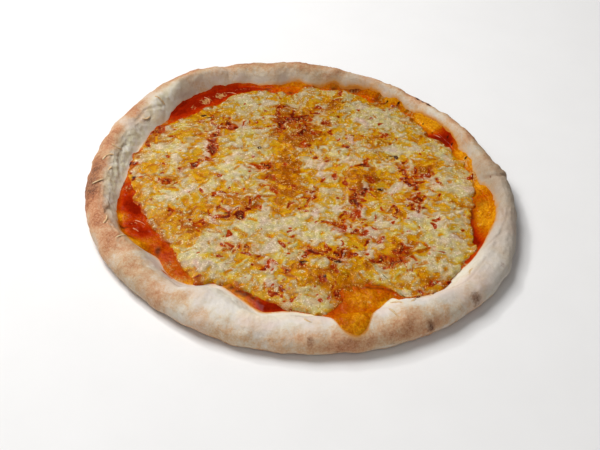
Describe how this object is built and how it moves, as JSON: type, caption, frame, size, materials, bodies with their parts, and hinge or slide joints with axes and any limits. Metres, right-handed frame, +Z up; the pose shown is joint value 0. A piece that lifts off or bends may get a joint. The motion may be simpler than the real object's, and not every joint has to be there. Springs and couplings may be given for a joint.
{
  "type": "margherita pizza",
  "caption": "Whole round pizza: hand-stretched baked base with a puffed uneven rim, tomato sauce and melted grated cheese.",
  "frame": {"origin": "bottom centre of the bounding box, on the flat underside of the baked base", "axes": "+Z up out of the toppings; -Y is the side nearest the viewer of the reference view, +X its right side"},
  "size_m": [0.3176, 0.32, 0.0202],
  "materials": {
    "baked_dough": "matte, floury and lightly browned",
    "tomato_sauce": "wet and oily",
    "melted_cheese": "mottled, oily, with small highlights"
  },
  "bodies": {
    "root": {"crust": "baked_dough", "sauce": "tomato_sauce", "cheese": "melted_cheese"}
  },
  "joints": []
}
